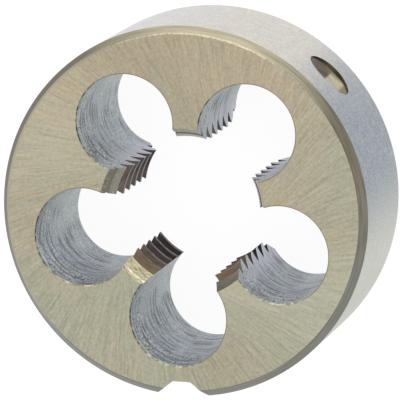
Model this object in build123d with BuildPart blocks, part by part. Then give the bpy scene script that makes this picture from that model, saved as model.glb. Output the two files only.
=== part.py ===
from build123d import *
import os
from math import ceil, cos, radians, sin, tan

os.makedirs("parts", exist_ok=True)

# Round threading die for a right-hand M20 x 2.5 thread, turned, drilled and ground from one blank.
# It lies on its back face. The die axis is +Z, the origin is the middle of the back face, and the
# adjusting notch points along -Y.

# Body
body_diameter = 45.0
body_thickness = 18.0
front_chamfer_width = 0.85
front_chamfer_depth = 1.0
back_chamfer = 0.5

# Cutting thread, with 60 degree metric flanks
thread_diameter = 20.0
pitch = 2.5
thread_angle = 60.0
root_clearance = 0.1
groove_height_at_x_axis = 0.75
groove_cutter_gap = 0.125

# Lead cones that open the thread at both faces
lead_mouth_clearance = 0.15
front_lead_length = 3.7
back_lead_length = 3.2

# Chip holes
chip_hole_count = 5
chip_hole_diameter = 11.82
chip_hole_circle_diameter = 25.54
first_chip_hole_angle = 52.0
edge_break = 0.15

# Adjusting notch in the rim
notch_depth = 1.95
notch_floor_width = 2.2
notch_angle = 100.0
notch_floor_fillet = 0.3

# Drilled seats in the rim for the screws of the die holder
seat_diameter = 6.2
seat_wall_depth = 0.45
seat_point_angle = 118.0
seat_height = 8.5
seat_angle_from_notch = 135.5

body_radius = body_diameter / 2
chip_hole_radius = chip_hole_diameter / 2
chip_hole_circle_radius = chip_hole_circle_diameter / 2

# Metric thread form: the crest flat of the die's teeth is a quarter of the pitch, and the groove
# is an eighth of the pitch wide at the nominal diameter.
thread_radius = thread_diameter / 2
flank_slope = tan(radians(thread_angle / 2))
groove_width_at_thread_radius = pitch / 8
minor_radius = thread_radius - (pitch * 3 / 4 - groove_width_at_thread_radius) / (2 * flank_slope)
root_radius = thread_radius + root_clearance
root_width = groove_width_at_thread_radius - 2 * root_clearance * flank_slope
cutter_base_width = pitch - groove_cutter_gap
cutter_base_radius = root_radius - (cutter_base_width - root_width) / (2 * flank_slope)
lead_mouth_radius = root_radius + lead_mouth_clearance

land_spacing = 360 / chip_hole_count
grooves_below_back_face = 2
groove_count = ceil(body_thickness / pitch) + grooves_below_back_face

# Comb of grooves that cuts the thread of one land: trapezoids one pitch apart, swept along a short helix
# from the middle of one chip hole to the middle of the next
with BuildPart() as land_grooves:
    with BuildLine() as land_helix:
        Helix(pitch=pitch, height=pitch / chip_hole_count, radius=thread_radius)
    with BuildSketch(Plane.XZ):
        for groove in range(groove_count):
            with Locations((0, groove * pitch)):
                Polygon(
                    (cutter_base_radius, -cutter_base_width / 2),
                    (root_radius, -root_width / 2),
                    (root_radius, root_width / 2),
                    (cutter_base_radius, cutter_base_width / 2),
                    align=None,
                )
    sweep(path=land_helix.line, is_frenet=True)

# One chip hole as a solid, wider at both ends by the edge break
with BuildPart() as chip_hole:
    with BuildSketch(Plane.XZ):
        with BuildLine():
            Polyline(
                (0, 0),
                (chip_hole_radius + edge_break, 0),
                (chip_hole_radius, edge_break),
                (chip_hole_radius, body_thickness - edge_break),
                (chip_hole_radius + edge_break, body_thickness),
                (0, body_thickness),
                close=True,
            )
        make_face()
    revolve(axis=Axis.Z)

with BuildPart() as die_body:
    # Turned ring with its rim chamfers and the two lead cones, spun about the die axis
    with BuildSketch(Plane.XZ):
        with BuildLine():
            Polyline(
                (minor_radius, back_lead_length),
                (lead_mouth_radius, 0),
                (body_radius - back_chamfer, 0),
                (body_radius, back_chamfer),
                (body_radius, body_thickness - front_chamfer_depth),
                (body_radius - front_chamfer_width, body_thickness),
                (lead_mouth_radius, body_thickness),
                (minor_radius, body_thickness - front_lead_length),
                close=True,
            )
        make_face()
    revolve(axis=Axis.Z)

    # Chip holes that break into the bore and leave five lands
    with PolarLocations(chip_hole_circle_radius, chip_hole_count, start_angle=first_chip_hole_angle):
        add(chip_hole.part, mode=Mode.SUBTRACT)

    # Thread of the lands: all of them lie on one helix, so the comb is turned and raised from land to land
    for land in range(chip_hole_count):
        land_turn = first_chip_hole_angle + land * land_spacing
        land_height = groove_height_at_x_axis + pitch * (land_turn / 360 - grooves_below_back_face)
        with Locations(Location((0, 0, land_height), (0, 0, land_turn))):
            add(land_grooves.part, mode=Mode.SUBTRACT)

    # Notch with a flat floor and sloping sides, milled through the whole thickness
    notch_floor_y = notch_depth - body_radius
    notch_reach = notch_depth * 2
    notch_mouth_width = notch_floor_width + 2 * notch_reach * tan(radians(notch_angle / 2))
    with BuildSketch(Plane.XY) as notch_section:
        Polygon(
            (-notch_floor_width / 2, notch_floor_y),
            (notch_floor_width / 2, notch_floor_y),
            (notch_mouth_width / 2, notch_floor_y - notch_reach),
            (-notch_mouth_width / 2, notch_floor_y - notch_reach),
            align=None,
        )
        fillet(notch_section.vertices().group_by(Axis.Y)[-1], notch_floor_fillet)
    extrude(amount=body_thickness, mode=Mode.SUBTRACT)

    # Two drilled seats, one on each side of the notch
    notch_direction = 270
    seat_radius = seat_diameter / 2
    seat_point_depth = seat_radius / tan(radians(seat_point_angle / 2))
    for side in (-1, 1):
        seat_angle = radians(notch_direction + side * seat_angle_from_notch)
        seat_direction = Vector(cos(seat_angle), sin(seat_angle), 0)
        seat_plane = Plane(
            origin=seat_direction * (body_radius - seat_wall_depth) + Vector(0, 0, seat_height),
            z_dir=seat_direction,
        )
        with BuildSketch(seat_plane):
            Circle(seat_radius)
        extrude(amount=seat_wall_depth * 2, mode=Mode.SUBTRACT)
        with Locations(seat_plane):
            Cone(
                bottom_radius=0,
                top_radius=seat_radius,
                height=seat_point_depth,
                align=(Align.CENTER, Align.CENTER, Align.MAX),
                mode=Mode.SUBTRACT,
            )

die_body.part.label = "die_body"
export_step(die_body.part, "parts/die_body.step")
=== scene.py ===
from math import cos, pi, radians, sin, tan

import bpy
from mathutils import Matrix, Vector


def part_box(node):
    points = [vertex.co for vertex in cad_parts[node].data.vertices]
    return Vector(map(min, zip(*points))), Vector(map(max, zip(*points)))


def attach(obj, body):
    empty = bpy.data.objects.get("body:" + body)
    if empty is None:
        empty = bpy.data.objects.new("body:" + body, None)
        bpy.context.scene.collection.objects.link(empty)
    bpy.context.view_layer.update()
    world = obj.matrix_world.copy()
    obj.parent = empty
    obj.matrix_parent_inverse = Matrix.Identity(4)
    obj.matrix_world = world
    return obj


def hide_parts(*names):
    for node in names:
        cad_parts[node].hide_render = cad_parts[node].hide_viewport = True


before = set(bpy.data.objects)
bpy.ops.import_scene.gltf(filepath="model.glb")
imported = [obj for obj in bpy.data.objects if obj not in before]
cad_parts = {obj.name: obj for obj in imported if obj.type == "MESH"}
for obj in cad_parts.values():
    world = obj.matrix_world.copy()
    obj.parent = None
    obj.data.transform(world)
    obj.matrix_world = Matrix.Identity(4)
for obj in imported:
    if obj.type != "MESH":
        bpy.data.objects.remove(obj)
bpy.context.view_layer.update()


# Blank: a ring of high-speed steel, turned, hardened, and then ground on both faces and on the rim.
# The front chamfer is wider than the back one, and both are left as the lathe made them.
# It is modelled in millimetres, and the finished piece is brought to metres.
metres_per_mm = 0.001
lowest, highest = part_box("die_body")
body_radius = highest.x / metres_per_mm
body_thickness = (highest.z - lowest.z) / metres_per_mm
front_chamfer_width = 0.85
front_chamfer_depth = 1.0
front_face_radius = body_radius - front_chamfer_width
back_chamfer = 0.5
edge_round = 0.07
edge_round_steps = 2
rim_sides = 360


def add_node(finish, kind, inputs, **settings):
    """Add a node to a finish, with its inputs set to numbers or joined to other nodes."""
    node = finish.node_tree.nodes.new("ShaderNode" + kind)
    for setting, value in settings.items():
        setattr(node, setting, value)
    for name, value in inputs.items():
        if isinstance(value, bpy.types.NodeSocket):
            finish.node_tree.links.new(value, node.inputs[name])
        else:
            node.inputs[name].default_value = value
    return node


def calculate(finish, operation, *values):
    """Add one step of arithmetic on numbers or on other nodes' results."""
    return add_node(finish, "Math", dict(enumerate(values)), operation=operation).outputs[0]


def calculate_vector(finish, operation, *values):
    """Add one step of arithmetic on vectors."""
    return add_node(finish, "VectorMath", dict(enumerate(values)), operation=operation).outputs[0]


def multiply(finish, first, second):
    """Multiply two shares, so that the result is large only where both are."""
    return calculate(finish, "MULTIPLY", first, second)


def add_share(finish, total, value, share):
    """Add a share of a value to a total."""
    return calculate(finish, "MULTIPLY_ADD", value, share, total)


def stretch(finish, value, low, high):
    """Spread the part of a value between low and high over 0 to 1."""
    return add_node(finish, "MapRange", {0: value, 1: low, 2: high}).outputs[0]


def fade_in(finish, distance, start, end):
    """Go from 0 to 1 as a distance goes from start to end, which are in millimetres."""
    return stretch(finish, distance, start * metres_per_mm, end * metres_per_mm)


def mix_colours(finish, share, first, second):
    """Go from the first colour to the second as the share goes from 0 to 1."""
    return add_node(finish, "Mix", {0: share, 6: first, 7: second}, data_type="RGBA").outputs[2]


def paint(red, green, blue):
    """Turn a colour as a screen shows it, from 0 to 255, into the shader's own scale by the sRGB curve."""
    parts = [part / 255 for part in (red, green, blue)]
    return [part / 12.92 if part < 0.04045 else ((part + 0.055) / 1.055) ** 2.4 for part in parts] + [1]


def start_finish(name):
    """Make a material with a metal shader."""
    finish = bpy.data.materials.new(name)
    finish.use_nodes = True
    finish.node_tree.nodes["Principled BSDF"].inputs["Metallic"].default_value = 1
    return finish


def end_finish(finish, colour, roughness, height, depth):
    """Join the colour, the roughness and the surface height, so many millimetres deep, to the shader."""
    shader = finish.node_tree.nodes["Principled BSDF"]
    bump = add_node(finish, "Bump", {"Height": height, "Distance": depth * metres_per_mm})
    finish.node_tree.links.new(colour, shader.inputs["Base Color"])
    finish.node_tree.links.new(roughness, shader.inputs["Roughness"])
    finish.node_tree.links.new(bump.outputs[0], shader.inputs["Normal"])


def find_spot(finish):
    """Give the place on the die, in metres from the middle of its back face."""
    return add_node(finish, "TexCoord", {}).outputs["Object"]


def find_height(finish):
    """Give the height above the back face, in metres."""
    return add_node(finish, "SeparateXYZ", {0: find_spot(finish)}).outputs["Z"]


def about_axis(finish, miss):
    """Give the direction of the straight line that runs outwards here and misses the die axis by so much.

    The miss is in millimetres, and a line that misses by nothing points straight out. The distance
    from the axis, in metres, comes with it.
    """
    level = calculate_vector(finish, "MULTIPLY", find_spot(finish), (1, 1, 0))
    radius = add_node(finish, "VectorMath", {0: level}, operation="LENGTH").outputs["Value"]
    turn = calculate(finish, "ARCSINE", calculate(finish, "DIVIDE", miss * metres_per_mm, radius))
    turned = add_node(finish, "VectorRotate", {"Vector": level, "Angle": turn}, rotation_type="Z_AXIS")
    return calculate_vector(finish, "NORMALIZE", turned.outputs[0]), radius


def facing(finish, direction, azimuth):
    """Tell how far a direction points to an azimuth in degrees: 1 straight at it, -1 straight away."""
    way = (cos(radians(azimuth)), sin(radians(azimuth)), 0)
    return add_node(finish, "VectorMath", {0: direction, 1: way}, operation="DOT_PRODUCT").outputs["Value"]


def in_line(finish, direction, azimuth):
    """Tell how far a direction lies in line with an azimuth, either way: 1 in line, 0 square to it."""
    return calculate(finish, "ABSOLUTE", facing(finish, direction, azimuth))


def side_share(finish, direction, azimuth, low, high):
    """Give the share of the side at an azimuth: 0 where a direction faces it by low, 1 by high."""
    return stretch(finish, facing(finish, direction, azimuth), low, high)


def add_grain(finish, place, detail, rough):
    """Add a noise whose grain is one unit of the place it is given."""
    inputs = {"Vector": place, "Scale": 1, "Detail": detail, "Roughness": rough}
    return add_node(finish, "TexNoise", inputs).outputs["Fac"]


def speckle(finish, per_metre, detail, rough):
    """Add grain that is alike in every direction: so many grains for each metre."""
    place = calculate_vector(finish, "MULTIPLY", find_spot(finish), (per_metre, per_metre, per_metre))
    return add_grain(finish, place, detail, rough)


def streaks(finish, direction, distance, lines, per_metre, detail, rough):
    """Add grain drawn out in lines: so many about the axis, and so many for each metre of the distance."""
    along = calculate(finish, "MULTIPLY", distance, per_metre)
    ring = calculate_vector(finish, "MULTIPLY", direction, (lines, lines, lines))
    lift = add_node(finish, "CombineXYZ", {"Z": along}).outputs[0]
    return add_grain(finish, calculate_vector(finish, "ADD", ring, lift), detail, rough)


# Ground faces: the grinding wheel leaves fine straight lines that run past the axis, in two sets.
# A light sweep and a dull one are painted across the face as painted reflection, a sheen that follows the
# lines' direction, and faint clouds tint it grey-green and tan.
ground_face = start_finish("ground_face")
fine_line_miss = 6.7
crossed_line_miss = 3.5
sheen_azimuth = 172
dull_sheen_azimuth = 123
tan_azimuth = 113
line_way, line_radius = about_axis(ground_face, fine_line_miss)
crossed_way, crossed_radius = about_axis(ground_face, crossed_line_miss)
fine_lines = streaks(ground_face, line_way, line_radius, lines=100, per_metre=260, detail=3, rough=0.65)
crossed_lines = streaks(
    ground_face, crossed_way, crossed_radius, lines=80, per_metre=300, detail=2, rough=0.5
)
tint_lines = streaks(ground_face, line_way, line_radius, lines=22, per_metre=130, detail=2, rough=0.5)
face_grain = speckle(ground_face, per_metre=2600, detail=1, rough=0.5)
face_clouds = speckle(ground_face, per_metre=70, detail=2, rough=0.5)
# Painted reflection: lighter where the lines run in line with one azimuth, duller where they run with
# another.
painted_sheen_sweep = stretch(ground_face, in_line(ground_face, line_way, sheen_azimuth), 0.9, 1)
painted_dull_sweep = stretch(ground_face, in_line(ground_face, line_way, dull_sheen_azimuth), 0.94, 1)
line_sum = add_share(ground_face, fine_lines, crossed_lines, 0.4)
line_sum = add_share(ground_face, line_sum, face_grain, 0.5)
line_sum = add_share(ground_face, line_sum, painted_sheen_sweep, 0.16)
line_sum = add_share(ground_face, line_sum, painted_dull_sweep, -0.08)
line_share = stretch(ground_face, line_sum, 0.65, 1.25)
line_colour = mix_colours(ground_face, line_share, paint(140, 137, 120), paint(208, 201, 175))
tint_sum = add_share(ground_face, face_clouds, tint_lines, 0.6)
tint_sum = add_share(ground_face, tint_sum, facing(ground_face, line_way, tan_azimuth), 0.16)
tint_share = stretch(ground_face, tint_sum, 0.56, 0.98)
cloud_colour = mix_colours(ground_face, tint_share, paint(166, 170, 150), paint(192, 168, 138))
face_colour = mix_colours(ground_face, 0.4, line_colour, cloud_colour)
face_roughness = add_share(ground_face, 0.36, line_share, 0.12)
end_finish(ground_face, face_colour, face_roughness, line_share, depth=0.004)

# Ground rim: very fine lines around, under a faint cloudy bloom that is partly painted reflection.
# Its tones are painted by side, partly as the steel's tint and partly as painted reflection: cream, blue on
# two opposite sides, lilac on a third, and green by the notch.
ground_rim = start_finish("ground_rim")
blue_reflection_azimuth = 20
lilac_azimuth = 150
green_azimuth = 290
rim_way = about_axis(ground_rim, 0)[0]
rim_height = find_height(ground_rim)
rim_lines = streaks(ground_rim, rim_way, rim_height, lines=6, per_metre=5000, detail=2, rough=0.5)
rim_clouds = streaks(ground_rim, rim_way, rim_height, lines=20, per_metre=900, detail=3, rough=0.6)
rim_grain = streaks(ground_rim, rim_way, rim_height, lines=110, per_metre=1500, detail=1, rough=0.5)
rim_sum = add_share(ground_rim, multiply(ground_rim, rim_lines, 0.2), rim_clouds, 0.7)
rim_sum = add_share(ground_rim, rim_sum, rim_grain, 0.8)
rim_share = stretch(ground_rim, rim_sum, 0.6, 1.1)
# Painted reflection, partly tint: darker blue on the two sides in line with one azimuth.
bloom_and_reflection_sum = add_share(ground_rim, in_line(ground_rim, rim_way, blue_reflection_azimuth), rim_clouds, 0.25)
blue_share = stretch(ground_rim, bloom_and_reflection_sum, 0.93, 1.1)
lilac_share = side_share(ground_rim, rim_way, lilac_azimuth, 0.3, 0.9)
green_share = side_share(ground_rim, rim_way, green_azimuth, 0.15, 0.7)
cream_steel = mix_colours(ground_rim, rim_share, paint(193, 191, 186), paint(224, 219, 209))
blue_reflection_steel = mix_colours(ground_rim, rim_share, paint(126, 134, 144), paint(172, 178, 184))
lilac_steel = mix_colours(ground_rim, rim_share, paint(192, 192, 196), paint(223, 221, 224))
green_steel = mix_colours(ground_rim, rim_share, paint(180, 183, 174), paint(208, 209, 198))
rim_colour = mix_colours(ground_rim, lilac_share, cream_steel, lilac_steel)
rim_colour = mix_colours(ground_rim, blue_share, rim_colour, blue_reflection_steel)
rim_colour = mix_colours(ground_rim, green_share, rim_colour, green_steel)
rim_roughness = add_share(ground_rim, 0.38, rim_share, 0.1)
end_finish(ground_rim, rim_colour, rim_roughness, rim_lines, depth=0.002)

# Turned chamfers: darker than the ground steel, with the lathe's lines around, and painted lighter on the +Y
# side towards the lamp, with a painted highlight along the front one's inner edge there. The side at 155
# degrees is painted darker as shade.
# On the -X side the front one's inner margin is painted like the face. That only makes it look narrower:
# the cut itself is as wide there as elsewhere.
turned_chamfer = start_finish("turned_chamfer")
lit_side_azimuth = 80
brown_azimuth = 85
shade_azimuth = 155
margin_azimuth = 170
margin_width = 0.11
margin_blur = 0.2
glint_width = 0.07
glint_blur = 0.08
shaded_steel = paint(112, 107, 95)
margin_steel = paint(172, 166, 146)
glint_steel = paint(232, 216, 184)
chamfer_way, chamfer_radius = about_axis(turned_chamfer, 0)
chamfer_lines = streaks(
    turned_chamfer, chamfer_way, chamfer_radius, lines=4, per_metre=7000, detail=3, rough=0.6
)
chamfer_grain = streaks(
    turned_chamfer, chamfer_way, chamfer_radius, lines=70, per_metre=4000, detail=1, rough=0.5
)
chamfer_share = stretch(turned_chamfer, chamfer_lines, 0.3, 0.7)
brown_share = side_share(turned_chamfer, chamfer_way, brown_azimuth, -0.2, 0.3)
# Painted shade: darker on the side at the shade azimuth.
painted_shade_share = side_share(turned_chamfer, chamfer_way, shade_azimuth, 0.5, 1.1)
# Painted light: lighter on the +Y side, towards the lamp.
painted_lit_share = side_share(turned_chamfer, chamfer_way, lit_side_azimuth, 0.72, 0.96)
margin_radius = front_face_radius + margin_width
margin_share = multiply(
    turned_chamfer,
    fade_in(turned_chamfer, chamfer_radius, margin_radius + margin_blur, margin_radius),
    side_share(turned_chamfer, chamfer_way, margin_azimuth, 0.5, 0.75),
)
# Painted highlight: a thin glint near the front face's edge, on the lit side only.
glint_radius = front_face_radius + glint_width
glint_share = multiply(
    turned_chamfer,
    fade_in(turned_chamfer, chamfer_radius, glint_radius + glint_blur, glint_radius),
    stretch(turned_chamfer, chamfer_grain, 0.35, 0.65),
)
glint_share = multiply(turned_chamfer, multiply(turned_chamfer, glint_share, painted_lit_share), 0.7)
grey_turned = mix_colours(turned_chamfer, chamfer_share, paint(110, 111, 104), paint(140, 139, 130))
brown_turned = mix_colours(turned_chamfer, chamfer_share, paint(106, 99, 86), paint(140, 133, 117))
lit_turned = mix_colours(turned_chamfer, chamfer_share, paint(150, 144, 124), paint(190, 182, 159))
chamfer_colour = mix_colours(turned_chamfer, brown_share, grey_turned, brown_turned)
chamfer_colour = mix_colours(turned_chamfer, painted_shade_share, chamfer_colour, shaded_steel)
chamfer_colour = mix_colours(turned_chamfer, margin_share, chamfer_colour, margin_steel)
chamfer_colour = mix_colours(turned_chamfer, painted_lit_share, chamfer_colour, lit_turned)
chamfer_colour = mix_colours(turned_chamfer, glint_share, chamfer_colour, glint_steel)
chamfer_roughness = add_share(turned_chamfer, 0.34, chamfer_share, 0.1)
end_finish(turned_chamfer, chamfer_colour, chamfer_roughness, chamfer_lines, depth=0.004)

# Faces are told apart by the Z part of their normal: a level face has more than the first of these,
# and an upright one less than the second. An edge that turns by more than the angle is rounded.
level_normal = 0.99
upright_normal = 0.1
rounded_angle = radians(20)


def choose_faces(piece, wanted):
    """Go into edit mode with only the wanted faces of the piece selected."""
    bpy.ops.object.mode_set(mode="EDIT")
    bpy.ops.mesh.select_all(action="DESELECT")
    bpy.ops.mesh.select_mode(type="FACE")
    bpy.ops.object.mode_set(mode="OBJECT")
    for face in piece.data.polygons:
        face.select = wanted(face)
    bpy.ops.object.mode_set(mode="EDIT")


def draw_out_end(piece, side, length, widen):
    """Extrude the flat end of a turned shape on that side, and widen it to a cone."""
    choose_faces(piece, lambda face: face.normal.z * side > level_normal)
    bpy.ops.mesh.extrude_region_move(TRANSFORM_OT_translate={"value": (0, 0, side * length)})
    bpy.ops.transform.resize(value=(widen, widen, 1), center_override=(0, 0, 0))
    bpy.ops.object.mode_set(mode="OBJECT")


def add_turned(sides, radius, bottom, top, finish):
    """Add a cylinder about the die axis between two heights, with its object at the origin."""
    bpy.ops.object.select_all(action="DESELECT")
    bpy.ops.mesh.primitive_cylinder_add(
        vertices=sides, radius=radius, depth=top - bottom, location=(0, 0, (top + bottom) / 2)
    )
    bpy.ops.object.transform_apply(location=True, rotation=True, scale=True)
    bpy.context.object.data.materials.append(finish)
    return bpy.context.object


die = add_turned(rim_sides, body_radius, back_chamfer, body_thickness - front_chamfer_depth, ground_rim)
die.name = "threading_die"
die.data.materials.append(ground_face)
die.data.materials.append(turned_chamfer)
draw_out_end(die, 1, front_chamfer_depth, front_face_radius / body_radius)
draw_out_end(die, -1, back_chamfer, (body_radius - back_chamfer) / body_radius)
choose_faces(die, lambda face: False)
bpy.ops.mesh.select_mode(type="EDGE")
bpy.ops.mesh.edges_select_sharp(sharpness=rounded_angle)
bpy.ops.mesh.bevel(offset=edge_round, segments=edge_round_steps, affect="EDGES")
bpy.ops.object.mode_set(mode="OBJECT")
for face in die.data.polygons:
    if abs(face.normal.z) > level_normal:
        face.material_index = 1
    elif abs(face.normal.z) > upright_normal:
        face.material_index = 2


# Bore and cutting thread: a right-hand M20 x 2.5 thread, opened by a lead cone at each face.
# Its crests lie on the minor diameter of the screw that the die cuts, and its flanks have gone brown
# and dark in hardening, and are painted black further in as shade of the deep bore.
thread_radius = 10.0
pitch = 2.5
thread_angle = radians(60)
root_clearance = 0.1
groove_height_at_x_axis = 0.75
groove_cutter_gap = 0.125
lead_mouth_clearance = 0.15
front_lead_length = 3.7
back_lead_length = 3.2
flank_slope = tan(thread_angle / 2)
groove_width_at_thread_radius = pitch / 8
minor_radius = thread_radius - (pitch * 3 / 4 - groove_width_at_thread_radius) / (2 * flank_slope)
root_radius = thread_radius + root_clearance
root_width = groove_width_at_thread_radius - 2 * root_clearance * flank_slope
cutter_base_width = pitch - groove_cutter_gap
cutter_base_radius = root_radius - (cutter_base_width - root_width) / (2 * flank_slope)
lead_mouth_radius = root_radius + lead_mouth_clearance
past_the_face = 1.0
bore_sides = 240
turns_below_back_face = 2
turns = 11
steps_per_turn = 120
merge_distance = 0.001

# Lead cones: ground, and tempered to straw gold on one land, with a plain olive band at the mouth.
# The gold is spotted up to near white as a painted highlight. The lands opposite the gold one are greyer.
lead_cone = start_finish("lead_cone")
gold_highlight_azimuth = 235
plain_azimuth = 200
far_azimuth = 52
mouth_band_start = lead_mouth_radius - 0.55
mouth_band_end = lead_mouth_radius - 0.35
brown_streak = paint(104, 90, 86)
far_cone = paint(196, 194, 178)
olive_mouth = paint(128, 122, 97)
cone_way, cone_radius = about_axis(lead_cone, 0)
cone_height = find_height(lead_cone)
cone_lines = streaks(lead_cone, cone_way, cone_height, lines=30, per_metre=900, detail=3, rough=0.6)
cone_spots = streaks(lead_cone, cone_way, cone_height, lines=14, per_metre=3600, detail=2, rough=0.7)
cone_share = stretch(lead_cone, cone_lines, 0.3, 0.7)
plain_share = side_share(lead_cone, cone_way, plain_azimuth, 0, 0.7)
streak_share = multiply(lead_cone, stretch(lead_cone, cone_spots, 0.55, 0.4), 0.25)
far_share = side_share(lead_cone, cone_way, far_azimuth, 0.2, 0.7)
# Painted highlight on straw tempering colour: the land at the gold azimuth.
gold_and_highlight_share = side_share(lead_cone, cone_way, gold_highlight_azimuth, 0.8, 0.93)
gold_and_highlight_spots = stretch(lead_cone, cone_spots, 0.3, 0.62)
mouth_share = multiply(
    lead_cone,
    fade_in(lead_cone, cone_radius, mouth_band_start, mouth_band_end),
    calculate(lead_cone, "SUBTRACT", 0.7, gold_and_highlight_share),
)
gold_and_highlight_cone = mix_colours(lead_cone, gold_and_highlight_spots, paint(192, 179, 140), paint(255, 250, 222))
land_colour = mix_colours(lead_cone, plain_share, paint(164, 154, 143), paint(222, 219, 202))
land_colour = mix_colours(lead_cone, streak_share, land_colour, brown_streak)
land_colour = mix_colours(lead_cone, far_share, land_colour, far_cone)
land_colour = mix_colours(lead_cone, gold_and_highlight_share, land_colour, gold_and_highlight_cone)
mouth_colour = mix_colours(lead_cone, mouth_share, land_colour, olive_mouth)
cone_colour = mix_colours(lead_cone, cone_share, mouth_colour, land_colour)
cone_roughness = add_share(lead_cone, 0.45, gold_and_highlight_share, 0.25)
end_finish(lead_cone, cone_colour, cone_roughness, cone_lines, depth=0.004)

# Crests: the narrow ground tops of the teeth, dull and spotted on the land with the gold cone
tooth_crest = start_finish("tooth_crest")
dull_crest_azimuth = 232
dull_crest = paint(78, 68, 64)
crest_way = about_axis(tooth_crest, 0)[0]
crest_height = find_height(tooth_crest)
crest_lines = streaks(tooth_crest, crest_way, crest_height, lines=8, per_metre=4000, detail=3, rough=0.6)
crest_spots = streaks(tooth_crest, crest_way, crest_height, lines=20, per_metre=1200, detail=2, rough=0.6)
crest_share = stretch(tooth_crest, crest_lines, 0.3, 0.7)
dull_share = multiply(
    tooth_crest,
    stretch(tooth_crest, crest_spots, 0.35, 0.6),
    side_share(tooth_crest, crest_way, dull_crest_azimuth, 0.5, 0.9),
)
crest_colour = mix_colours(tooth_crest, crest_share, paint(88, 80, 78), paint(136, 128, 124))
crest_colour = mix_colours(tooth_crest, dull_share, crest_colour, dull_crest)
crest_roughness = add_share(tooth_crest, 0.4, crest_share, 0.1)
end_finish(tooth_crest, crest_colour, crest_roughness, crest_lines, depth=0.003)

# Flanks: brown near the front face and painted black further in as shade of the bore, greyer on some lands.
# Where the groove runs out in the lead cone's mouth, they take the cone's olive, or its gold with the
# painted highlight.
thread_flank = start_finish("thread_flank")
grey_azimuth = 160
full_shade_height = body_thickness - 10
brown_height = body_thickness - 3.5
mouth_start_height = body_thickness - 1.8
mouth_end_height = body_thickness - 1.2
far_flank = paint(112, 116, 106)
olive_flank = paint(126, 122, 102)
flank_way, flank_radius = about_axis(thread_flank, 0)
flank_height = find_height(thread_flank)
flank_lines = streaks(thread_flank, flank_way, flank_radius, lines=6, per_metre=5000, detail=3, rough=0.6)
flank_spots = streaks(thread_flank, flank_way, flank_height, lines=14, per_metre=3600, detail=2, rough=0.7)
flank_share = stretch(thread_flank, flank_lines, 0.3, 0.7)
# Painted shade: the flanks turn from brown to black deeper in the bore.
front_share = fade_in(thread_flank, flank_height, full_shade_height, brown_height)
grey_share = multiply(thread_flank, side_share(thread_flank, flank_way, grey_azimuth, 0.5, 0.9), 0.7)
far_share = side_share(thread_flank, flank_way, far_azimuth, 0.2, 0.7)
# Painted highlight on straw tempering colour, as on the lead cone.
gold_and_highlight_share = side_share(thread_flank, flank_way, gold_highlight_azimuth, 0.8, 0.93)
gold_and_highlight_spots = stretch(thread_flank, flank_spots, 0.3, 0.62)
mouth_share = fade_in(thread_flank, flank_height, mouth_start_height, mouth_end_height)
brown_flank = mix_colours(thread_flank, flank_share, paint(103, 87, 70), paint(137, 118, 96))
black_shade_flank = mix_colours(thread_flank, flank_share, paint(42, 38, 40), paint(74, 68, 68))
grey_flank = mix_colours(thread_flank, flank_share, paint(76, 70, 66), paint(116, 108, 102))
gold_and_highlight_flank = mix_colours(thread_flank, gold_and_highlight_spots, paint(178, 164, 126), paint(255, 250, 224))
mouth_flank = mix_colours(thread_flank, gold_and_highlight_share, olive_flank, gold_and_highlight_flank)
flank_colour = mix_colours(thread_flank, front_share, black_shade_flank, brown_flank)
flank_colour = mix_colours(thread_flank, grey_share, flank_colour, grey_flank)
flank_colour = mix_colours(thread_flank, far_share, flank_colour, far_flank)
flank_colour = mix_colours(thread_flank, mouth_share, flank_colour, mouth_flank)
flank_roughness = add_share(thread_flank, 0.34, flank_share, 0.1)
end_finish(thread_flank, flank_colour, flank_roughness, flank_lines, depth=0.003)


def cut_away(piece, tool):
    """Cut the tool's shape out of the piece, and leave the tool's finish on the cut."""
    bpy.ops.object.select_all(action="DESELECT")
    bpy.context.view_layer.objects.active = piece
    cut = piece.modifiers.new("cut", "BOOLEAN")
    cut.operation = "DIFFERENCE"
    cut.solver = "MANIFOLD"
    cut.material_mode = "TRANSFER"
    cut.object = tool
    bpy.ops.object.modifier_apply(modifier=cut.name)
    bpy.data.objects.remove(tool)


front_lead_height = body_thickness - front_lead_length
reamer = add_turned(bore_sides, minor_radius, back_lead_length, front_lead_height, lead_cone)
draw_out_end(reamer, 1, front_lead_length, lead_mouth_radius / minor_radius)
draw_out_end(reamer, -1, back_lead_length, lead_mouth_radius / minor_radius)
draw_out_end(reamer, 1, past_the_face, 1)
draw_out_end(reamer, -1, past_the_face, 1)
reamer.data.materials.append(tooth_crest)
for face in reamer.data.polygons:
    face.material_index = int(abs(face.normal.z) < upright_normal)
cut_away(die, reamer)

# The thread tool is one groove section, narrow at the root, screwed up the axis by one pitch for each turn
bpy.ops.object.select_all(action="DESELECT")
section_depth = root_radius - cutter_base_radius
section_middle = (root_radius + cutter_base_radius) / 2
section_height = groove_height_at_x_axis - turns_below_back_face * pitch
bpy.ops.mesh.primitive_plane_add(
    size=1, location=(section_middle, 0, section_height), rotation=(radians(90), 0, 0)
)
thread_tool = bpy.context.object
thread_tool.scale = (section_depth, root_width, 1)
bpy.ops.object.transform_apply(location=True, rotation=True, scale=True)
bpy.ops.object.mode_set(mode="EDIT")
bpy.ops.mesh.select_all(action="DESELECT")
bpy.ops.mesh.select_mode(type="VERT")
bpy.ops.object.mode_set(mode="OBJECT")
for corner in thread_tool.data.vertices:
    corner.select = corner.co.x < section_middle
bpy.ops.object.mode_set(mode="EDIT")
bpy.ops.transform.resize(
    value=(1, 1, cutter_base_width / root_width), center_override=(0, 0, section_height)
)
bpy.ops.object.mode_set(mode="OBJECT")
thread_tool.data.materials.append(thread_flank)
winding = thread_tool.modifiers.new("winding", "SCREW")
winding.axis = "Z"
winding.screw_offset = pitch
winding.iterations = turns
winding.steps = steps_per_turn
winding.render_steps = steps_per_turn
bpy.ops.object.modifier_apply(modifier=winding.name)
bpy.ops.object.mode_set(mode="EDIT")
bpy.ops.mesh.select_all(action="SELECT")
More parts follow.
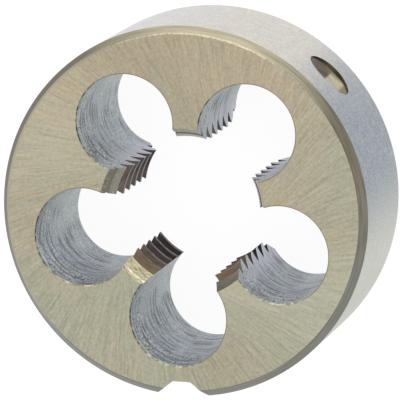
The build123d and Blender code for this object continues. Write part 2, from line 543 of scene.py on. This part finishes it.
bpy.ops.mesh.remove_doubles(threshold=merge_distance)
bpy.ops.mesh.fill_holes(sides=4)
bpy.ops.mesh.quads_convert_to_tris()
bpy.ops.mesh.normals_make_consistent(inside=False)
bpy.ops.object.mode_set(mode="OBJECT")
cut_away(die, thread_tool)


# Chip holes: five drilled holes that break into the bore, so that five lands are left between them.
# The drill leaves feed marks around the wall, and a small edge break runs round both ends.
chip_hole_count = 5
chip_hole_radius = 5.91
chip_hole_circle_radius = 12.77
first_chip_hole_angle = radians(52)
hole_spacing = 2 * pi / chip_hole_count
edge_break = 0.15
hole_sides = 160


def about_chip_hole(finish):
    """Give the number of the nearest chip hole, the direction from its middle, and the height.

    The direction comes twice: as it is, and turned back as if every hole lay on +X.
    """
    spot = find_spot(finish)
    x, y, height = add_node(finish, "SeparateXYZ", {0: spot}).outputs
    past_first = calculate(finish, "SUBTRACT", calculate(finish, "ARCTAN2", y, x), first_chip_hole_angle)
    number = calculate(finish, "ROUND", calculate(finish, "DIVIDE", past_first, hole_spacing))
    turn_back = calculate(finish, "MULTIPLY_ADD", number, -hole_spacing, -first_chip_hole_angle)
    turned = add_node(finish, "VectorRotate", {"Vector": spot, "Angle": turn_back}, rotation_type="Z_AXIS")
    level = calculate_vector(finish, "MULTIPLY", turned.outputs[0], (1, 1, 0))
    middle = (-chip_hole_circle_radius * metres_per_mm, 0, 0)
    local_way = calculate_vector(finish, "NORMALIZE", calculate_vector(finish, "ADD", level, middle))
    turn_on = calculate(finish, "MULTIPLY", turn_back, -1)
    way = add_node(finish, "VectorRotate", {"Vector": local_way, "Angle": turn_on}, rotation_type="Z_AXIS")
    return number, way.outputs[0], local_way, height


# Drilled walls: bluish and blotchy, with dark feed marks around, specks near the front face, and pale
# steel where the teeth end. Each hole takes its marks from another height of the pattern, so that no two
# look alike. Towards the front face the wall is painted lighter as painted light, and the bright specks are
# painted glints.
drilled_wall = start_finish("drilled_wall")
pattern_step = 50 * metres_per_mm
mark_azimuth = 235
blue_wall_azimuth = 265
speck_azimuth = 270
bore_azimuth = 180
speck_start = body_thickness - 7.2
speck_full = body_thickness - 3.8
speck_fading = body_thickness - 0.8
front_start = body_thickness - 7
shadow_grey = paint(94, 100, 104)
light_grey = paint(208, 214, 218)
painted_light_grey = paint(204, 210, 210)
tooth_lilac = paint(204, 204, 216)
glint_white = paint(222, 227, 230)
mark_black = paint(58, 60, 66)
hole_number, hole_way, local_way, wall_height = about_chip_hole(drilled_wall)
mark_height = add_share(drilled_wall, wall_height, hole_number, pattern_step)
patches = streaks(drilled_wall, local_way, mark_height, lines=1.7, per_metre=110, detail=2, rough=0.5)
feed_marks = streaks(drilled_wall, local_way, mark_height, lines=1.6, per_metre=2300, detail=2, rough=0.6)
fine_marks = streaks(drilled_wall, local_way, mark_height, lines=5, per_metre=3200, detail=2, rough=0.6)
wall_grain = streaks(drilled_wall, local_way, mark_height, lines=26, per_metre=2300, detail=1, rough=0.5)
specks = streaks(drilled_wall, local_way, mark_height, lines=27, per_metre=2100, detail=1, rough=0.6)

mark_patches = add_share(drilled_wall, patches, in_line(drilled_wall, hole_way, mark_azimuth), 0.2)
mark_share = multiply(
    drilled_wall,
    stretch(drilled_wall, feed_marks, 0.52, 0.4),
    stretch(drilled_wall, mark_patches, 0.5, 0.68),
)
speck_band = multiply(
    drilled_wall,
    fade_in(drilled_wall, wall_height, speck_start, speck_full),
    fade_in(drilled_wall, wall_height, body_thickness, speck_fading),
)
dark_specks = add_share(drilled_wall, specks, facing(drilled_wall, hole_way, speck_azimuth), 0.05)
speck_share = multiply(drilled_wall, stretch(drilled_wall, dark_specks, 0.6, 0.7), speck_band)
# Painted highlight: bright glints among the specks near the front face.
glint_share = multiply(drilled_wall, stretch(drilled_wall, specks, 0.44, 0.24), speck_band)
tooth_share = side_share(drilled_wall, local_way, bore_azimuth, 0.3, 0.8)
dark_share = multiply(
    drilled_wall,
    calculate(drilled_wall, "MAXIMUM", multiply(drilled_wall, mark_share, 0.72), speck_share),
    add_share(drilled_wall, 1, tooth_share, -0.7),
)
blue_sum = add_share(drilled_wall, patches, facing(drilled_wall, hole_way, blue_wall_azimuth), 0.4)
blue_share = stretch(drilled_wall, blue_sum, 0.4, 0.9)
grain_share = stretch(drilled_wall, add_share(drilled_wall, wall_grain, fine_marks, 0.8), 0.65, 1.15)
front_share = fade_in(drilled_wall, wall_height, front_start, body_thickness)

wall_tone = mix_colours(drilled_wall, blue_share, paint(174, 184, 181), paint(150, 158, 172))
shaded_wall = mix_colours(drilled_wall, 0.5, wall_tone, shadow_grey)
light_wall = mix_colours(drilled_wall, 0.5, wall_tone, light_grey)
wall_colour = mix_colours(drilled_wall, grain_share, shaded_wall, light_wall)
# Painted light: the wall grows lighter towards the front face.
wall_colour = mix_colours(drilled_wall, multiply(drilled_wall, front_share, 0.35), wall_colour, painted_light_grey)
wall_colour = mix_colours(drilled_wall, multiply(drilled_wall, tooth_share, 0.85), wall_colour, tooth_lilac)
wall_colour = mix_colours(drilled_wall, glint_share, wall_colour, glint_white)
wall_colour = mix_colours(drilled_wall, dark_share, wall_colour, mark_black)
wall_roughness = add_share(drilled_wall, 0.4, grain_share, 0.1)
wall_relief = calculate(drilled_wall, "SUBTRACT", grain_share, dark_share)
end_finish(drilled_wall, wall_colour, wall_roughness, wall_relief, depth=0.01)

# Edge breaks: face-coloured, with ragged painted shade on the side at 215 degrees of each hole.
# Towards -Y it turns brighter, into painted highlights.
broken_edge = start_finish("broken_edge")
edge_shade_azimuth = 215
edge_highlight_azimuth = 262
plain_edge = paint(178, 172, 150)
edge_way = about_chip_hole(broken_edge)[1]
edge_grain = speckle(broken_edge, per_metre=1800, detail=2, rough=0.5)
edge_grain_tone = stretch(broken_edge, edge_grain, 0.42, 0.62)
# Painted shade on one side of each hole's edge, and painted highlights towards -Y.
edge_shade_share = side_share(broken_edge, edge_way, edge_shade_azimuth, -0.1, 0.4)
edge_highlight_share = side_share(broken_edge, edge_way, edge_highlight_azimuth, 0.6, 0.9)
painted_edge_shade = mix_colours(broken_edge, edge_grain_tone, paint(100, 92, 80), paint(186, 180, 160))
painted_edge_highlight = mix_colours(broken_edge, edge_grain_tone, paint(150, 146, 128), paint(226, 222, 202))
edge_light_colour = mix_colours(broken_edge, edge_highlight_share, painted_edge_shade, painted_edge_highlight)
edge_colour = mix_colours(broken_edge, edge_shade_share, plain_edge, edge_light_colour)
edge_roughness = add_share(broken_edge, 0.5, edge_grain, 0.3)
end_finish(broken_edge, edge_colour, edge_roughness, edge_grain, depth=0.01)

# One drill is made on the axis and copied for every hole, and all of them cut together
drill = add_turned(hole_sides, chip_hole_radius, edge_break, body_thickness - edge_break, drilled_wall)
for side in (1, -1):
    draw_out_end(drill, side, edge_break, (chip_hole_radius + edge_break) / chip_hole_radius)
    draw_out_end(drill, side, past_the_face, 1)
drill.data.materials.append(broken_edge)
for face in drill.data.polygons:
    face.material_index = int(upright_normal < abs(face.normal.z) < level_normal)
drills = [drill]
while len(drills) < chip_hole_count:
    copied_drill = drill.copy()
    copied_drill.data = drill.data.copy()
    bpy.context.scene.collection.objects.link(copied_drill)
    copied_drill.select_set(True)
    drills.append(copied_drill)
for hole, placed_drill in enumerate(drills):
    hole_angle = first_chip_hole_angle + hole * hole_spacing
    placed_drill.location.x = chip_hole_circle_radius * cos(hole_angle)
    placed_drill.location.y = chip_hole_circle_radius * sin(hole_angle)
bpy.ops.object.transform_apply(location=True, rotation=True, scale=True)
bpy.ops.object.join()
cut_away(die, drill)


# Adjusting notch: milled through the rim, so that the die can be split there and closed by a screw.
# Its floor is flat, its sides slope outwards, and the mill leaves small rounds between them.
notch_depth = 1.95
notch_floor_width = 2.2
notch_angle = radians(100)
notch_floor_round = 0.14
notch_round_steps = 4
notch_reach = 2 * notch_depth
notch_floor_y = notch_depth - body_radius
notch_end_y = notch_floor_y - notch_reach
notch_middle_y = notch_floor_y - notch_reach / 2
notch_end_width = notch_floor_width + 2 * notch_reach * tan(notch_angle / 2)

bpy.ops.object.select_all(action="DESELECT")
bpy.ops.mesh.primitive_cube_add(size=1, location=(0, notch_middle_y, body_thickness / 2))
mill = bpy.context.object
mill.scale = (notch_floor_width, notch_reach, body_thickness + 2 * past_the_face)
bpy.ops.object.transform_apply(location=True, rotation=True, scale=True)
mill.data.materials.append(ground_face)
choose_faces(mill, lambda face: face.normal.y < -level_normal)
bpy.ops.transform.resize(
    value=(notch_end_width / notch_floor_width, 1, 1), center_override=(0, notch_end_y, body_thickness / 2)
)
bpy.ops.object.mode_set(mode="OBJECT")
choose_faces(mill, lambda face: False)
bpy.ops.mesh.select_mode(type="EDGE")
bpy.ops.object.mode_set(mode="OBJECT")
corners = mill.data.vertices
for edge in mill.data.edges:
    ends = [corners[end].co for end in edge.vertices]
    edge.select = all(end.y > notch_middle_y for end in ends) and ends[0].x * ends[1].x > 0
bpy.ops.object.mode_set(mode="EDIT")
bpy.ops.mesh.bevel(offset=notch_floor_round, segments=notch_round_steps, affect="EDGES")
bpy.ops.object.mode_set(mode="OBJECT")
cut_away(die, mill)


# Screw seats: two shallow drilled seats in the rim, the same way round from the notch on either side.
# The set screws of the die holder bear in them, and each seat ends in the cone of the drill point.
seat_radius = 3.1
seat_wall_depth = 0.45
seat_height = 8.5
seat_azimuth = 45.5
seat_sides = 96
drill_point_angle = radians(118)
drill_point_width = 0.001
seat_point_depth = seat_radius / tan(drill_point_angle / 2)

# Drilled seats: champagne steel that the drill point left smooth, dark on one side and olive at the end.
# The lit side is painted light, and the dark side and the brown low end are painted shade.
# The pattern is folded over, so that both seats show the same. Its places are in millimetres, across and
# up from the middle of a seat.
drilled_seat = start_finish("drilled_seat")
lit_start = 0.3
olive_start = -1.8
olive_full = -2.2
low_start = -2.4
low_full = -3.0
low_shade_brown = paint(130, 120, 98)
seat_way, seat_reach = about_axis(drilled_seat, 0)
seat_lines = streaks(drilled_seat, seat_way, seat_reach, lines=6, per_metre=5000, detail=3, rough=0.6)
seat_share = stretch(drilled_seat, seat_lines, 0.3, 0.7)
folded_spot = calculate_vector(drilled_seat, "ABSOLUTE", find_spot(drilled_seat))
seat_turn = {"Vector": folded_spot, "Angle": -radians(seat_azimuth)}
seat_spot = add_node(drilled_seat, "VectorRotate", seat_turn, rotation_type="Z_AXIS").outputs[0]
seat_parts = add_node(drilled_seat, "SeparateXYZ", {0: seat_spot}).outputs
seat_rise = calculate(drilled_seat, "SUBTRACT", seat_parts["Z"], seat_height * metres_per_mm)
# Painted light and shade: the seat is lit on one side of its middle and dark on the other, and brown at its
# low end.
lit_share = fade_in(drilled_seat, seat_parts["Y"], lit_start, 0)
olive_share = fade_in(drilled_seat, seat_parts["Y"], olive_start, olive_full)
low_shade_share = fade_in(drilled_seat, seat_rise, low_start, low_full)
pale_seat = mix_colours(drilled_seat, seat_share, paint(168, 162, 140), paint(196, 190, 164))
painted_shade_seat = mix_colours(drilled_seat, seat_share, paint(88, 80, 74), paint(116, 106, 96))
olive_seat = mix_colours(drilled_seat, seat_share, paint(120, 120, 96), paint(138, 138, 112))
lit_seat = mix_colours(drilled_seat, olive_share, pale_seat, olive_seat)
seat_colour = mix_colours(drilled_seat, lit_share, painted_shade_seat, lit_seat)
seat_colour = mix_colours(drilled_seat, low_shade_share, seat_colour, low_shade_brown)
seat_roughness = add_share(drilled_seat, 0.22, seat_share, 0.1)
end_finish(drilled_seat, seat_colour, seat_roughness, seat_lines, depth=0.003)

for seat_angle in (radians(seat_azimuth), radians(180 - seat_azimuth)):
    seat_drill = add_turned(seat_sides, seat_radius, -seat_wall_depth, past_the_face, drilled_seat)
    draw_out_end(seat_drill, -1, seat_point_depth, drill_point_width)
    seat_drill.rotation_euler = (0, radians(90), seat_angle)
    seat_drill.location = (body_radius * cos(seat_angle), body_radius * sin(seat_angle), seat_height)
    bpy.ops.object.transform_apply(location=True, rotation=True, scale=True)
    cut_away(die, seat_drill)


# Finished die: the piece is brought from millimetres to metres, and shaded smooth across its soft edges.
# It stands for the whole node die_body, which is hidden.
smooth_angle = radians(12)
bpy.ops.object.select_all(action="DESELECT")
die.select_set(True)
bpy.context.view_layer.objects.active = die
die.scale = (metres_per_mm, metres_per_mm, metres_per_mm)
bpy.ops.object.transform_apply(location=True, rotation=True, scale=True)
bpy.ops.object.shade_smooth_by_angle(angle=smooth_angle)
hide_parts("die_body")
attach(die, "root")


# Floor: a plain pale sheet that the die lies on.
# It glows for the camera and for what the metal mirrors, so that both see it nearly white.
floor_size = 4.0
sheet_white = (0.9, 0.9, 0.9, 1)
sheet_roughness = 0.9
glow_white = (1, 1, 1, 1)
glow_strength = 1.12
glow_for_camera = 0.82
glow_for_mirror = 0.85
bpy.ops.object.select_all(action="DESELECT")
bpy.ops.mesh.primitive_plane_add(size=floor_size, location=(0, 0, 0))
floor = bpy.context.object
floor.name = "floor"
pale_sheet = bpy.data.materials.new("pale_sheet")
pale_sheet.use_nodes = True
sheet_shader = pale_sheet.node_tree.nodes["Principled BSDF"]
sheet_shader.inputs["Base Color"].default_value = sheet_white
sheet_shader.inputs["Roughness"].default_value = sheet_roughness
sheet_shader.inputs["Specular IOR Level"].default_value = 0
sheet_glow = add_node(pale_sheet, "Emission", {"Color": glow_white, "Strength": glow_strength}).outputs[0]
rays = add_node(pale_sheet, "LightPath", {}).outputs
mirrored = calculate(pale_sheet, "MAXIMUM", rays["Is Glossy Ray"], rays["Is Transmission Ray"])
camera_glow = multiply(pale_sheet, rays["Is Camera Ray"], glow_for_camera)
mirror_glow = multiply(pale_sheet, mirrored, glow_for_mirror)
glow_share = calculate(pale_sheet, "MAXIMUM", camera_glow, mirror_glow)
sheet_mix = add_node(pale_sheet, "MixShader", {0: glow_share, 1: sheet_shader.outputs[0], 2: sheet_glow})
sheet_output = pale_sheet.node_tree.nodes["Material Output"]
pale_sheet.node_tree.links.new(sheet_mix.outputs[0], sheet_output.inputs["Surface"])
floor.data.materials.append(pale_sheet)


# Studio: an even pale room, and one wide warm lamp that hangs low on the +Y side and faces the die.
# The lamp's place follows from its distance, its azimuth and its lift above the floor.
room_white = (0.97, 0.985, 1, 1)
lamp_width = 0.6
lamp_height = 0.25
lamp_colour = (1, 0.95, 0.84)
lamp_power = 0.9
lamp_distance = 0.7
lamp_azimuth = radians(92)
lamp_lift = radians(16)
world = bpy.data.worlds.new("pale_room")
bpy.context.scene.world = world
world.use_nodes = True
room = world.node_tree.nodes["Background"]
room.inputs["Color"].default_value = room_white
room.inputs["Strength"].default_value = 1
bpy.ops.object.light_add(type="AREA", location=(0, 0, 0))
lamp = bpy.context.object
lamp.name = "warm_lamp"
lamp.data.shape = "RECTANGLE"
lamp.data.size = lamp_width
lamp.data.size_y = lamp_height
lamp.data.color = lamp_colour
lamp.data.energy = lamp_power
lamp.rotation_euler = (radians(90) - lamp_lift, 0, lamp_azimuth + radians(90))
lamp.location = (
    lamp_distance * cos(lamp_lift) * cos(lamp_azimuth),
    lamp_distance * cos(lamp_lift) * sin(lamp_azimuth),
    lamp_distance * sin(lamp_lift),
)


# Camera: a long lens that looks down on the front face, from over the right-hand screw seat.
# Its place is in metres, and its turn about X, Y and Z in degrees.
camera_place = (0.14135395, 0.1088377, 0.53604689)
camera_turn = (-11.23912, 15.06632, 0.17825)
lens_length = 414.43
sensor_width = 36
camera_data = bpy.data.cameras.new("camera")
camera = bpy.data.objects.new("camera", camera_data)
bpy.context.scene.collection.objects.link(camera)
camera.location = camera_place
camera.rotation_euler = [radians(angle) for angle in camera_turn]
camera_data.lens = lens_length
camera_data.sensor_width = sensor_width
bpy.context.scene.camera = camera
bpy.context.scene.view_settings.view_transform = "Standard"
